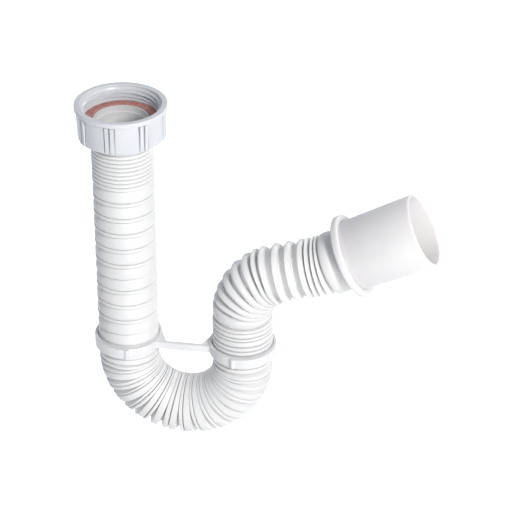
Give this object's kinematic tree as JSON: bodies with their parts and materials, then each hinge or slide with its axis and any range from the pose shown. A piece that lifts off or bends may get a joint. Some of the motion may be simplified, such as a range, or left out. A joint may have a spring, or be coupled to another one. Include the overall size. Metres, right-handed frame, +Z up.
{
  "type": "extendable waste connector",
  "caption": "White extendable waste connector: union nut with washer, bellows hose bent into a U trap held by a strap clip, and a plain collared outlet spigot.",
  "frame": {"origin": "centre of the union nut's mouth, on the inlet axis", "axes": "+Z up out of the nut's mouth, +X towards the outlet in the plane of the trap, -Y to the viewer of the picture"},
  "size_m": [0.1931, 0.0488, 0.2014],
  "materials": {
    "nut_plastic": "satin white moulding",
    "washer_rubber": "matt red-brown",
    "hose_plastic": "satin white blow moulding",
    "clip_plastic": "satin white moulding",
    "spigot_plastic": "satin white moulding"
  },
  "bodies": {
    "hose": {"flexible_hose": "hose_plastic", "sealing_washer": "washer_rubber"},
    "nut": {"union_nut": "nut_plastic"},
    "trap": {"trap_clip": "clip_plastic"},
    "outlet": {"outlet_spigot": "spigot_plastic"}
  },
  "joints": [
    {"name": "nut_spin", "type": "hinge", "parent": "hose", "child": "nut", "pos_m": [0, 0, 0], "axis": [0, 0, 1], "continuous": true},
    {"name": "leg_stretch", "type": "slide", "parent": "hose", "child": "trap", "axis": [0, 0, -1], "range_m": [-0.04, 0.08], "deforming": ["flexible_hose"]},
    {"name": "outlet_swing", "type": "hinge", "parent": "trap", "child": "outlet", "pos_m": [0.0735, 0, -0.104], "axis": [0, 1, 0], "range_deg": [-50, 40], "deforming": ["flexible_hose"]}
  ]
}
